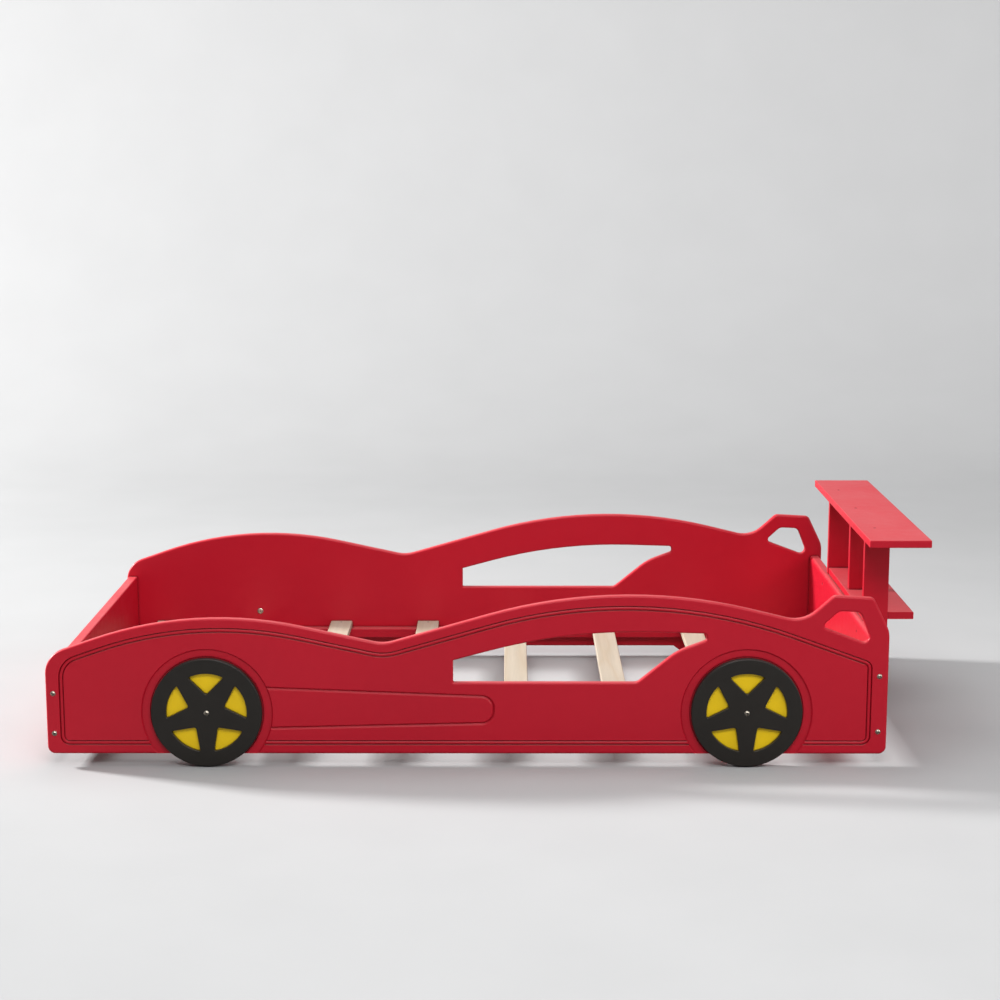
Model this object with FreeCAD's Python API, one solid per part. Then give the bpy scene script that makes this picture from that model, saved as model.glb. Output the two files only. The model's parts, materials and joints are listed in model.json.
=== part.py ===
import FreeCAD, Part
import math
import os

# Racing-car bed for a child, on a twin mattress deck.
# +X runs from the foot end (car nose) to the head end (rear wing), +Y to the car's
# right side, +Z up.  The origin lies on the floor under the middle of the whole bed.

# Overall
panel_length = 1980.0
panel_thickness = 18.0
inside_width = 1019.0
ground_clearance = 30.0
arris_radius = 6.0
opening_arris_radius = 5.0
seat_gap = 0.3
fit_clearance = 0.05

# Places of the wheels.  Between them the body is drawn at the drawn wheelbase, and its
# places and long curves stretch with the real one.
wheel_front_at, wheel_rear_setback = 379.0, 331.0
drawn_wheelbase = 1270.0

# Side panel outline: heights are above its straight bottom edge, places are measured
# from its foot end, and setbacks from its head end.  Each corner has its arc's radius.
foot_corner_radius = 18.0
nose_height, nose_radius = 238.0, 62.0
front_hump_at, front_hump_height, front_hump_radius = 352.7, 362.4, 907.0
waist_at, waist_height, waist_radius = 796.3, 266.6, 89.0
roof_at, roof_height, roof_radius = 1345.8, 424.7, 1201.0
tail_dip_setback, tail_dip_height, tail_dip_radius = 201.7, 319.9, 76.0
crest_start_setback, crest_start_height = 132.0, 383.0
crest_end_setback, crest_end_height, crest_radius = 39.4, 378.0, 15.0
tail_height, tail_radius = 296.0, 60.0

# Side window, as corners of the opening
window_front_at, window_sill_height, window_front_height = 959.0, 174.0, 227.0
window_roof_at, window_roof_height, window_roof_radius = 1231.0, 300.5, 1340.0
window_end_at, window_end_height, window_tip_depth = 1551.0, 291.5, 15.5
window_kick_at, window_kick_radius = 1391.0, 20.0
window_elbow_at, window_elbow_height, window_elbow_radius = 1484.0, 249.8, 160.0
window_corner_radius, window_tip_radius = 2.5, 6.5

# Hand hole in the crest over the rear wheel, as (back from head end, height, radius)
hand_hole = [(160.0, 308.0, 9.0), (119.0, 345.5, 22.0), (70.0, 343.0, 16.0), (38.0, 262.0, 13.0)]

# Routed beads and grooves on the outer faces
bead_width, bead_depth, bead_crown = 12.5, 3.6, 0.3
bead_top_inset, bead_nose_inset, bead_bottom_inset = 29.0, 37.5, 27.5
bead_tail_inset, bead_tail_height, bead_tail_slope = 44.0, 219.0, 20.0
bead_nose_radius, bead_roof_radius, bead_corner_radius = 50.0, 1160.0, 16.0
scoop_end_at, scoop_top, scoop_bottom = 1054.0, 139.5, 75.5
scoop_front_top, scoop_front_bottom, scoop_corner_radius = 159.5, 63.5, 29.0
scoop_width, scoop_depth = 8.5, 3.4

# Wheels: the round lobe behind each wheel carries the bed
axle_height = 132.5
lobe_radius = 133.0
wheel_floor_gap = 2.0
arch_radius, arch_depth, arch_drop = 156.0, 3.5, 3.0
recess_radius, recess_depth = 134.5, 1.5
wheel_thickness = 15.0
wheel_rim_round = 2.5
cutout_rim_round = 1.5
spoke_count = 5
cutout_outer_radius, cutout_inner_radius, cutout_half_angle = 95.0, 43.0, 26.1
cutout_corner_radius, cutout_tip_radius = 3.0, 5.5
backing_radius, backing_thickness = 108.0, 5.5
backing_margin = 0.5
axle_radius, axle_running_clearance = 3.0, 0.08
nut_sleeve_radius, nut_sleeve_length = 4.5, 15.0
nut_flange_radius, nut_flange_thickness = 8.5, 2.0

# Boards across the ends
board_thickness = 25.0
footboard_at, footboard_top = 5.0, 203.0
headboard_inset, headboard_top = 8.5, 264.0
board_bottom = 12.0
board_edge_radius, headboard_nose_radius = 4.0, 10.0

# Joints at the four corners
foot_bolt_heights = (50.0, 147.0)
head_bolt_heights = (54.5, 189.0)
bolt_radius, bolt_depth_in_board = 3.0, 42.0
bolt_head_radius, bolt_head_height = 6.35, 3.4
bolt_socket_across, bolt_socket_depth = 4.0, 2.0
barrel_nut_radius, barrel_nut_length, barrel_nut_setback = 5.0, 16.0, 34.0
dowel_radius, dowel_length, dowel_depth_in_panel = 4.0, 30.0, 10.0

# Slat deck
ledger_height, ledger_depth, ledger_base = 25.5, 28.0, 31.5
slat_count = 8
slat_width, slat_thickness = 60.0, 17.0
slat_end_clearance = 1.0
slat_foot_setback, slat_head_setback = 85.0, 93.4
slat_edge_radius = 2.0
ledger_screw_count, ledger_screw_offset = 5, 16.0
slat_screw_inset = 14.0

# Rear wing
blade_overhang, blade_depth, blade_length, blade_thickness = 111.0, 147.0, 865.0, 18.0
blade_top = 495.0
upright_spacing, upright_thickness = 271.6, 18.0
upright_depth, upright_foot = 61.0, 200.0
upright_lap = 11.5
middle_upright_depth = 51.0
shelf_depth, shelf_thickness, shelf_lap = 126.5, 18.0, 10.0
wing_edge_radius = 2.0
blade_screw_setback = 24.0
upright_screw_height = 236.0

# Wood screws
screw_radius, screw_head_radius, screw_head_depth = 2.0, 4.2, 2.6
screw_length_ledger, screw_length_slat = 34.0, 30.0
screw_length_wing = 45.0

# Worked-out places
overall_length = panel_length + blade_overhang
foot_x = -overall_length / 2
head_x = foot_x + panel_length
wheel_rear_at = panel_length - wheel_rear_setback
stretch = (wheel_rear_at - wheel_front_at) / drawn_wheelbase
panel_z = ground_clearance
inner_y = inside_width / 2
outer_y = inner_y + panel_thickness
wheel_radius = axle_height - wheel_floor_gap
wheel_back_y = outer_y - arch_depth - recess_depth + seat_gap
wheel_front_y = wheel_back_y + wheel_thickness
footboard_x = foot_x + footboard_at
headboard_x = head_x - headboard_inset - board_thickness
headboard_back_x = headboard_x + board_thickness
slat_base_z = panel_z + ledger_base + ledger_height
blade_x = head_x + blade_overhang - blade_depth
upright_x = headboard_back_x - upright_lap
shelf_z = panel_z + headboard_top
shelf_x = headboard_back_x - shelf_lap
upright_top_z = panel_z + blade_top - blade_thickness
wheels = {
    "front_left": (foot_x + wheel_front_at, -1),
    "front_right": (foot_x + wheel_front_at, 1),
    "rear_left": (foot_x + wheel_rear_at, -1),
    "rear_right": (foot_x + wheel_rear_at, 1),
}
X_AXIS = FreeCAD.Vector(1, 0, 0)
Y_AXIS = FreeCAD.Vector(0, 1, 0)
Z_AXIS = FreeCAD.Vector(0, 0, 1)


def point(x, y, z):
    return FreeCAD.Vector(x, y, z)


def rounded_wire(corners, closed=True):
    """Wire in the XZ plane through (x, z, radius) corners, each rounded by a tangent arc."""
    spots = [point(x, 0, z) for x, z, _ in corners]
    edges, first, last = [], None, None
    for i, (spot, corner) in enumerate(zip(spots, corners)):
        radius = corner[2]
        is_end = not closed and i in (0, len(spots) - 1)
        if is_end or radius <= 0:
            start = middle = end = spot
        else:
            back = (spots[i - 1] - spot).normalize()
            ahead = (spots[(i + 1) % len(spots)] - spot).normalize()
            half = back.getAngle(ahead) / 2
            start = spot + back * (radius / math.tan(half))
            end = spot + ahead * (radius / math.tan(half))
            bisector = (back + ahead).normalize()
            middle = spot + bisector * (radius / math.sin(half) - radius)
        if last is not None:
            edges.append(Part.LineSegment(last, start).toShape())
        if start is not end:
            edges.append(Part.Arc(start, middle, end).toShape())
        first = first or start
        last = end
    if closed:
        edges.append(Part.LineSegment(last, first).toShape())
    return Part.Wire(edges)


def inset_corner(before, corner, after, inset_before, inset_after):
    """The corner of an outline run clockwise, moved inward from its two edges."""
    a, b, c = (point(p[0], 0, p[1]) for p in (before, corner, after))
    u, v = (b - a).normalize(), (c - b).normalize()
    across_u, across_v = point(u.z, 0, -u.x), point(v.z, 0, -v.x)
    turn = u.x * v.z - u.z * v.x
    along = (across_v * inset_after - across_u * inset_before).dot(across_v) / u.dot(across_v)
    spot = b + across_u * inset_before + u * along
    radius = corner[2] - inset_after if turn < 0 else corner[2] + inset_after
    return spot.x, spot.z, max(radius, bead_corner_radius)


def turned(steps, at, toward):
    """Solid of revolution from (start radius, end radius, length) steps, run from a point."""
    pieces, here = [], at
    for start_radius, end_radius, length in steps:
        if start_radius == end_radius:
            pieces.append(Part.makeCylinder(start_radius, length, here, toward))
        else:
            pieces.append(Part.makeCone(start_radius, end_radius, length, here, toward))
        here = here + toward * length
    whole = pieces[0].multiFuse(pieces[1:]) if len(pieces) > 1 else pieces[0]
    return whole.removeSplitter()


def flat_edges(shape):
    """Edges that lie in one plane across Y."""
    return [e for e in shape.Edges if e.BoundBox.YLength < 0.01]


def board(x, y, z, length, width, height, radius):
    """A board with its corner at x, y, z and all its long arrises rounded."""
    solid = Part.makeBox(length, width, height, point(x, y, z))
    return solid.makeFillet(radius, solid.Edges)


def mirrored(shape):
    return shape.mirror(point(0, 0, 0), Y_AXIS)


def group(solids):
    return Part.makeCompound(solids)


def save(name, shape):
    shape.exportStep("parts/" + name + ".step")


# ---------------------------------------------------------------- side panels
def stretched(at):
    """A drawn place between the wheels, moved to suit the real wheelbase."""
    return wheel_front_at + (at - wheel_front_at) * stretch


def panel_corners():
    return [
        (0, 0, foot_corner_radius),
        (0, nose_height, nose_radius),
        (front_hump_at, front_hump_height, front_hump_radius * stretch),
        (stretched(waist_at), waist_height, waist_radius),
        (stretched(roof_at), roof_height, roof_radius * stretch),
        (panel_length - tail_dip_setback, tail_dip_height, tail_dip_radius),
        (panel_length - crest_start_setback, crest_start_height, crest_radius),
        (panel_length - crest_end_setback, crest_end_height, crest_radius),
        (panel_length, tail_height, tail_radius),
        (panel_length, 0, foot_corner_radius),
    ]


def window_corners():
    corners = [
        (window_front_at, window_sill_height, window_corner_radius),
        (window_front_at, window_front_height, window_corner_radius),
        (window_roof_at, window_roof_height, window_roof_radius * stretch),
        (window_end_at, window_end_height, window_tip_radius),
        (window_end_at + window_corner_radius, window_end_height - window_tip_depth, window_tip_radius),
        (window_elbow_at, window_elbow_height, window_elbow_radius * stretch),
        (window_kick_at, window_sill_height, window_kick_radius),
    ]
    return [(stretched(at), height, radius) for at, height, radius in corners]


def bead_corners():
    """Perimeter bead: parallel to the outline up to the roof, then falling to the tail."""
    outline = panel_corners()
    nose_x, nose_z, _ = inset_corner(outline[0], outline[1], outline[2], bead_nose_inset, bead_top_inset)
    hump = inset_corner(outline[1], outline[2], outline[3], bead_top_inset, bead_top_inset)
    waist = inset_corner(outline[2], outline[3], outline[4], bead_top_inset, bead_top_inset)
    tail_x = panel_length - bead_tail_inset
    rise = (roof_height - waist_height) / (outline[4][0] - outline[3][0])
    fall = math.tan(math.radians(bead_tail_slope))
    roof_x = (bead_tail_height + fall * tail_x - waist[1] + rise * waist[0]) / (rise + fall)
    roof = (roof_x, waist[1] + rise * (roof_x - waist[0]), bead_roof_radius * stretch)
    return [
        (bead_nose_inset, bead_bottom_inset, bead_corner_radius),
        (nose_x, nose_z, bead_nose_radius), hump, waist, roof,
        (tail_x, bead_tail_height, bead_corner_radius),
        (tail_x, bead_bottom_inset, bead_corner_radius),
    ]


def scoop_corners():
    end = stretched(scoop_end_at)
    return [
        (wheel_front_at, scoop_front_top + (scoop_front_top - scoop_top) / 3, 0),
        (end, scoop_top, scoop_corner_radius),
        (end, scoop_bottom, scoop_corner_radius),
        (wheel_front_at, scoop_front_bottom - (scoop_bottom - scoop_front_bottom) / 3, 0),
    ]


def cutter_profile(centre, across, out, half_width, depth, crown):
    """Closed section of the routed groove; crown is the drop of the bead between its lines."""
    def spot(side, height):
        return centre + across * side + out * height
    rim = 1.0
    if crown is None:
        outline = [spot(-half_width, rim), spot(-half_width, 0), spot(0, -depth),
                   spot(half_width, 0), spot(half_width, rim)]
        edges = [Part.LineSegment(a, b).toShape() for a, b in zip(outline, outline[1:] + outline[:1])]
        return Part.Wire(edges)
    line = half_width - depth / 2
    straight = [spot(-line, -depth), spot(-half_width, 0), spot(-half_width, rim),
                spot(half_width, rim), spot(half_width, 0), spot(line, -depth)]
    edges = [Part.LineSegment(a, b).toShape() for a, b in zip(straight, straight[1:])]
    edges.append(Part.Arc(straight[-1], spot(0, -crown), straight[0]).toShape())
    return Part.Wire(edges)


def routed(corners, closed, width, depth, crown, face_y):
    """Sweep of the cutter along a path on the panel's outer face."""
    path = rounded_wire(corners, closed)
    path.translate(point(0, face_y, 0))
    edge = path.Edges[0]
    start = edge.valueAt(edge.FirstParameter)
    along = edge.tangentAt(edge.FirstParameter)
    across = along.cross(Y_AXIS)
    profile = cutter_profile(start, across, -Y_AXIS, width / 2, depth, crown)
    sweep = Part.BRepOffsetAPI.MakePipeShell(path)
    sweep.setBiNormalMode(Y_AXIS)
    sweep.add(profile, False, False)
    sweep.build()
    sweep.makeSolid()
    return sweep.shape()


def side_panel_left():
    """The left panel is made at the origin with its outer face at y = 0, then placed."""
    hand_hole_corners = [(panel_length - back, height, radius) for back, height, radius in hand_hole]
    through = Y_AXIS * panel_thickness
    panel = Part.Face(rounded_wire(panel_corners())).extrude(through)
    panel = panel.makeFillet(arris_radius, flat_edges(panel))
    for corners in (window_corners(), hand_hole_corners):
        opening = Part.Face(rounded_wire(corners)).extrude(through)
        panel = panel.cut(opening)
        reach = opening.BoundBox
        reach.enlarge(seat_gap)
        rims = [e for e in flat_edges(panel) if reach.isInside(e.BoundBox)]
        panel = panel.makeFillet(opening_arris_radius, rims)
    axle_up = axle_height - panel_z
    centres = [point(at, 0, axle_up) for at in (wheel_front_at, wheel_rear_at)]
    below = Part.makeBox(panel_length, panel_thickness, axle_height, point(0, 0, -panel_z - axle_height))
    lobes = [Part.makeCylinder(lobe_radius, panel_thickness, c, Y_AXIS).cut(below) for c in centres]
    panel = panel.multiFuse(lobes)
    arch_centres = [c - Z_AXIS * arch_drop for c in centres]
    arches = [Part.makeCone(arch_radius + arch_depth, arch_radius - arch_depth, 2 * arch_depth,
                            c - Y_AXIS * arch_depth, Y_AXIS) for c in arch_centres]
    recesses = [Part.makeCone(recess_radius + recess_depth, recess_radius - recess_depth, 2 * recess_depth,
                              c + Y_AXIS * (arch_depth - recess_depth), Y_AXIS) for c in centres]
    keep_out = [Part.makeCylinder(arch_radius - arch_depth / 2, panel_thickness, c - Y_AXIS, Y_AXIS)
                for c in arch_centres]
    bead = routed(bead_corners(), True, bead_width, bead_depth, bead_crown, 0)
    scoop = routed(scoop_corners(), False, scoop_width, scoop_depth, None, 0)
    grooves = [bead.cut(group(keep_out)), scoop.cut(group(keep_out))]
    holes = []
    for at, heights in ((footboard_at + board_thickness / 2, foot_bolt_heights),
                        (panel_length - headboard_inset - board_thickness / 2, head_bolt_heights)):
        for height in heights:
            holes.append(Part.makeCylinder(bolt_radius + fit_clearance, panel_thickness,
                                           point(at, 0, height), Y_AXIS))
        holes.append(Part.makeCylinder(dowel_radius + fit_clearance, dowel_depth_in_panel + fit_clearance,
                                       point(at, panel_thickness, sum(heights) / 2), -Y_AXIS))
    holes += [Part.makeCylinder(nut_sleeve_radius + fit_clearance, panel_thickness, c, Y_AXIS)
              for c in centres]
    for at in ledger_screw_places():
        length = screw_length_ledger - ledger_depth
        holes.append(Part.makeCylinder(screw_radius + fit_clearance, length + fit_clearance,
                                       point(at, panel_thickness, ledger_base + ledger_height / 2), -Y_AXIS))
    panel = panel.cut(arches + recesses + grooves + holes)
    panel.translate(point(foot_x, -outer_y, panel_z))
    return panel


# ---------------------------------------------------------------- end boards
def end_joint_places(board_x, heights):
    """Bolt and dowel places of one board, on the left side, at the panel's inner face."""
    x = board_x + board_thickness / 2
    bolts = [point(x, -inner_y, panel_z + height) for height in heights]
    return bolts, point(x, -inner_y, panel_z + sum(heights) / 2)


def barrel_nut(bolt_at, face_x, inward):
    """Cross nut, let into the board from its outer face."""
    start = point(face_x, bolt_at.y + barrel_nut_setback, bolt_at.z) + inward * fit_clearance
    nut = Part.makeCylinder(barrel_nut_radius, barrel_nut_length, start, inward)
    return nut.cut(Part.makeCylinder(bolt_radius + fit_clearance, 4 * barrel_nut_radius,
                                     bolt_at + Y_AXIS * (barrel_nut_setback - 2 * barrel_nut_radius), Y_AXIS))


def end_board(board_x, top, heights, face_x, inward, bed_radius, bed_side_x):
    """Board between the panels, drilled for its bolts, cross nuts and dowels."""
    solid = Part.makeBox(board_thickness, inside_width, top - board_bottom,
                         point(board_x, -inner_y, panel_z + board_bottom))
    top_z = panel_z + top
    rims = [e for e in solid.Edges if abs(e.BoundBox.ZMin - top_z) < 0.01 and e.BoundBox.YLength > 1]
    bed_rims = [e for e in rims if abs(e.BoundBox.XMin - bed_side_x) < 0.01]
    out_rims = [e for e in rims if abs(e.BoundBox.XMin - bed_side_x) >= 0.01]
    solid = solid.makeFillet(bed_radius, bed_rims)
    out_x = out_rims[0].BoundBox.XMin
    again = [e for e in solid.Edges if abs(e.BoundBox.ZMin - top_z) < 0.01 and e.BoundBox.YLength > 1
             and abs(e.BoundBox.XMin - out_x) < 0.01 and e.BoundBox.ZLength < 0.01]
    solid = solid.makeFillet(board_edge_radius / 2, again)
    bolts, dowel = end_joint_places(board_x, heights)
    cuts = []
    for bolt in bolts:
        cuts.append(Part.makeCylinder(bolt_radius + fit_clearance, bolt_depth_in_board + fit_clearance,
                                      bolt, Y_AXIS))
        nut_hole = Part.makeCylinder(barrel_nut_radius + fit_clearance,
                                     barrel_nut_length + 2 * fit_clearance,
                                     point(face_x, bolt.y + barrel_nut_setback, bolt.z), inward)
        cuts.append(nut_hole)
    cuts.append(Part.makeCylinder(dowel_radius + fit_clearance,
                                  dowel_length - dowel_depth_in_panel + fit_clearance, dowel, Y_AXIS))
    return solid.cut(cuts + [mirrored(c) for c in cuts])


def domed_bolt(head_at, toward, length):
    """Bolt with a low domed head; head_at is under the head, toward runs down the shank."""
    rise, radius = bolt_head_height, bolt_head_radius
    sphere_radius = (radius ** 2 + rise ** 2) / (2 * rise)
    centre = head_at - toward * (rise - sphere_radius)
    dome = Part.makeSphere(sphere_radius, centre)
    slab = Part.makeCylinder(radius * 1.2, rise * 1.2, head_at, -toward)
    head = dome.common(slab)
    shank = Part.makeCylinder(bolt_radius, length, head_at, toward)
    socket = hexagon_prism(head_at - toward * rise, toward, bolt_socket_across, bolt_socket_depth)
    return head.fuse(shank).removeSplitter().cut(socket)


def hexagon_prism(at, toward, across, depth):
    corner = across / math.sqrt(3)
    ring = [point(at.x + corner * math.cos(math.radians(60 * k)), at.y,
                  at.z + corner * math.sin(math.radians(60 * k))) for k in range(7)]
    return Part.Face(Part.makePolygon(ring)).extrude(toward * depth)


def corner_hardware():
    """Bolts, cross nuts and dowels of the four corners."""
    bolts, nuts, dowels = [], [], []
    corners = [(footboard_x, foot_bolt_heights, footboard_x, X_AXIS),
               (headboard_x, head_bolt_heights, headboard_back_x, -X_AXIS)]
    for board_x, heights, face_x, inward in corners:
        places, dowel = end_joint_places(board_x, heights)
        for place in places:
            head_at = place - Y_AXIS * panel_thickness
            bolts.append(domed_bolt(head_at, Y_AXIS, panel_thickness + bolt_depth_in_board))
            nuts.append(barrel_nut(place, face_x, inward))
        start = dowel - Y_AXIS * dowel_depth_in_panel
        dowels.append(Part.makeCylinder(dowel_radius, dowel_length, start, Y_AXIS))
    for pieces in (bolts, nuts, dowels):
        pieces += [mirrored(piece) for piece in pieces]
    return bolts, nuts, dowels + shelf_dowels(0)


# ---------------------------------------------------------------- wheels
def cutout_corners():
    """Corners of one opening: its point toward the hub, its outer edge on the rim circle."""
    half = math.radians(cutout_half_angle)
    x, z = cutout_outer_radius * math.sin(half), cutout_outer_radius * math.cos(half)
    return point(-x, 0, z), point(x, 0, z), point(0, 0, cutout_inner_radius)


def wheel_cutout():
    left, right, tip = cutout_corners()
    crown = point(0, 0, cutout_outer_radius)
    wire = Part.Wire([Part.Arc(left, crown, right).toShape(),
                      Part.LineSegment(right, tip).toShape(),
                      Part.LineSegment(tip, left).toShape()])
    prism = Part.Face(wire).extrude(point(0, wheel_thickness, 0))
    for radius, corners in ((cutout_tip_radius, [tip]), (cutout_corner_radius, [left, right])):
        edges = [e for e in prism.Edges if e.BoundBox.YLength > wheel_thickness / 2
                 and any(point(e.BoundBox.XMin, 0, e.BoundBox.ZMin).distanceToPoint(c) < 0.01
                         for c in corners)]
        prism = prism.makeFillet(radius, edges)
    return prism


def wheel_pieces():
    """Disc and backing of a right-hand wheel, with the wheel's back at y = 0."""
    disc = Part.makeCylinder(wheel_radius, wheel_thickness, point(0, 0, 0), Y_AXIS)
    rims = [e for e in disc.Edges if isinstance(e.Curve, Part.Circle)
            and abs(e.Curve.Center.y - wheel_thickness) < 0.01]
    disc = disc.makeFillet(wheel_rim_round, rims)
    pocket = Part.makeCylinder(backing_radius + backing_margin, backing_thickness, point(0, 0, 0), Y_AXIS)
    bore = Part.makeCylinder(axle_radius + axle_running_clearance, wheel_thickness, point(0, 0, 0), Y_AXIS)
    openings = []
    for k in range(spoke_count):
        opening = wheel_cutout()
        opening.rotate(point(0, 0, 0), Y_AXIS, 360.0 * k / spoke_count)
        openings.append(opening)
    disc = disc.cut([pocket, bore] + openings)
    rims = [e for e in flat_edges(disc) if abs(e.BoundBox.YMin - wheel_thickness) < 0.01
            and math.hypot(e.BoundBox.Center.x, e.BoundBox.Center.z) > cutout_inner_radius / 2]
    disc = disc.makeFillet(cutout_rim_round, rims)
    backing = Part.makeCylinder(backing_radius, backing_thickness, point(0, 0, 0), Y_AXIS).cut(bore)
    return disc, backing


def placed_wheel(shape, x, side):
    copy = shape.copy()
    copy.translate(point(x, wheel_back_y, axle_height))
    return copy if side > 0 else mirrored(copy)


def axle_hardware():
    """Bolt and sleeve nut of each wheel; the bed holds both and the wheel runs on the bolt."""
    bolts, nuts = [], []
    for x, side in wheels.values():
        head_at = point(x, wheel_front_y + seat_gap, axle_height)
        length = wheel_front_y + seat_gap - inner_y - nut_flange_thickness
        bolt = domed_bolt(head_at, -Y_AXIS, length)
        flange = Part.makeCylinder(nut_flange_radius, nut_flange_thickness,
                                   point(x, inner_y - nut_flange_thickness, axle_height), Y_AXIS)
        sleeve = Part.makeCylinder(nut_sleeve_radius, nut_sleeve_length - arch_depth,
                                   point(x, inner_y, axle_height), Y_AXIS)
        bore = Part.makeCylinder(axle_radius + fit_clearance, panel_thickness,
                                 point(x, inner_y, axle_height), Y_AXIS)
        key = hexagon_prism(point(x, inner_y - nut_flange_thickness, axle_height), Y_AXIS,
                            bolt_socket_across, nut_flange_thickness / 2)
        nut = flange.fuse(sleeve).removeSplitter().cut([bore, key])
        bolts.append(bolt if side > 0 else mirrored(bolt))
        nuts.append(nut if side > 0 else mirrored(nut))
    return bolts, nuts


# ---------------------------------------------------------------- slat deck
def ledger_screw_places():
    """Places along the panel of the screws that hold a ledger, each hidden under a slat."""
    places = []
    for number in range(ledger_screw_count):
        k = round(number * (slat_count - 1) / (ledger_screw_count - 1))
        outward = -1 if k < slat_count / 2 else 1
        places.append(slat_centres()[k] - foot_x + outward * ledger_screw_offset)
    return places


def slat_centres():
    first = footboard_x + board_thickness + slat_foot_setback
    pitch = (headboard_x - slat_head_setback - first) / (slat_count - 1)
    return [first + pitch * k for k in range(slat_count)]


def screw(at, toward, length, clearance=0.0):
    """Countersunk screw with its head flush at a point; with a clearance it is its own hole."""
    head = screw_head_radius + clearance
    shank = screw_radius + clearance
    return turned([(head, shank, screw_head_depth), (shank, shank, length - screw_head_depth + clearance)],
                  at, toward)


def ledger_left():
    x = footboard_x + board_thickness + seat_gap
    length = headboard_x - seat_gap - x
    rail = Part.makeBox(length, ledger_depth, ledger_height, point(x, -inner_y, panel_z + ledger_base))
    top_rims = [e for e in rail.Edges if e.BoundBox.XLength > 1 and e.BoundBox.YMin > -inner_y + 1]
    rail = rail.makeFillet(slat_edge_radius, top_rims)
    holes = [screw(at, toward, length, fit_clearance) for at, toward, length in ledger_screws_left()]
    holes += [screw(at, toward, length, fit_clearance) for at, toward, length in slat_screws_left()]
    return rail.cut(holes)


def ledger_screws_left():
    z = panel_z + ledger_base + ledger_height / 2
    return [(point(foot_x + at, -inner_y + ledger_depth, z), -Y_AXIS, screw_length_ledger)
            for at in ledger_screw_places()]


def slat_screws_left():
    z = slat_base_z + slat_thickness
    return [(point(x, -inner_y + slat_screw_inset, z), -Z_AXIS, screw_length_slat)
            for x in slat_centres()]


def slat(x):
    length = inside_width - 2 * slat_end_clearance
    plank = Part.makeBox(slat_width, length, slat_thickness,
                         point(x - slat_width / 2, -length / 2, slat_base_z))
    rims = [e for e in plank.Edges if e.BoundBox.YLength > 1]
    plank = plank.makeFillet(slat_edge_radius, rims)
    holes = [screw(at, toward, size, fit_clearance) for at, toward, size in slat_screws_left()
             if abs(at.x - x) < 0.01]
    return plank.cut(holes + [mirrored(hole) for hole in holes])


# ---------------------------------------------------------------- rear wing
def wing_screws():
    """Blade, upright and shelf screws as (place, direction, length)."""
    blade_z = panel_z + blade_top
    blade = [(point(upright_x + blade_screw_setback, y, blade_z), -Z_AXIS, screw_length_wing)
             for y in (-upright_spacing, 0, upright_spacing)]
    upright_z = panel_z + upright_screw_height
    upright = [(point(headboard_x, y, upright_z), X_AXIS, screw_length_wing)
               for y in (-upright_spacing, upright_spacing)]
    shelf = [(point(headboard_back_x + middle_upright_depth * part, 0, shelf_z), Z_AXIS, screw_length_wing)
             for part in (0.25, 0.7)]
    return blade, upright, shelf


def shelf_dowels(clearance):
    """Dowels between the shelf's ends and the outer uprights; with a clearance they are the holes."""
    dowels = []
    for part in (0.3, 0.75):
        start = point(upright_x + upright_depth * part,
                      -upright_spacing + upright_thickness / 2 - dowel_depth_in_panel - clearance,
                      shelf_z + shelf_thickness / 2)
        dowels.append(Part.makeCylinder(dowel_radius + clearance, dowel_length + 2 * clearance,
                                        start, Y_AXIS))
    return dowels + [mirrored(dowel) for dowel in dowels]


def holes_of(screws):
    return [screw(at, toward, length, fit_clearance) for at, toward, length in screws]


def outer_upright(y):
    """Upright that laps over the headboard's top and runs down its back."""
    foot_z = panel_z + upright_foot
    plate = Part.makeBox(upright_depth, upright_thickness, upright_top_z - foot_z,
                         point(upright_x, y - upright_thickness / 2, foot_z))
    notch = Part.makeBox(upright_lap, upright_thickness, panel_z + headboard_top - foot_z,
                         point(upright_x, y - upright_thickness / 2, foot_z))
    plate = plate.cut(notch)
    rims = [e for e in plate.Edges if e.BoundBox.ZLength > shelf_thickness and e.BoundBox.XMin > upright_x + 1
            and e.BoundBox.XMax > upright_x + upright_depth - 1 and e.BoundBox.XLength < 0.01]
    return plate.makeFillet(wing_edge_radius, rims)


def middle_upright():
    z = shelf_z + shelf_thickness
    plate = Part.makeBox(middle_upright_depth, upright_thickness, upright_top_z - z,
                         point(upright_x + upright_depth - middle_upright_depth, -upright_thickness / 2, z))
    rims = [e for e in plate.Edges if e.BoundBox.ZLength > shelf_thickness]
    return plate.makeFillet(wing_edge_radius, rims)


def wing_pieces():
    blade_screws, upright_screws, shelf_screws = wing_screws()
    blade = board(blade_x, -blade_length / 2, upright_top_z, blade_depth, blade_length, blade_thickness,
                  wing_edge_radius)
    shelf_width = 2 * upright_spacing - upright_thickness
    shelf = Part.makeBox(shelf_depth, shelf_width, shelf_thickness, point(shelf_x, -shelf_width / 2, shelf_z))
    rims = [e for e in shelf.Edges if e.BoundBox.YLength > 1]
    shelf = shelf.makeFillet(wing_edge_radius, rims)
    all_holes = holes_of(blade_screws + upright_screws + shelf_screws) + shelf_dowels(fit_clearance)
    return {
        "wing_blade": blade.cut(all_holes),
        "wing_shelf": shelf.cut(all_holes),
        "wing_upright_left": outer_upright(-upright_spacing).cut(all_holes),
        "wing_upright_middle": middle_upright().cut(all_holes),
        "wing_upright_right": outer_upright(upright_spacing).cut(all_holes),
    }


def headboard():
    plain = end_board(headboard_x, headboard_top, head_bolt_heights, headboard_back_x, -X_AXIS,
                      headboard_nose_radius, headboard_x)
    return plain.cut(holes_of(wing_screws()[1]))


def footboard():
    return end_board(footboard_x, footboard_top, foot_bolt_heights, footboard_x, X_AXIS,
                     board_edge_radius, footboard_x + board_thickness)


def screws_from(places):
    return [screw(at, toward, length) for at, toward, length in places]


def both_sides(solids):
    return group(solids + [mirrored(solid) for solid in solids])


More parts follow.
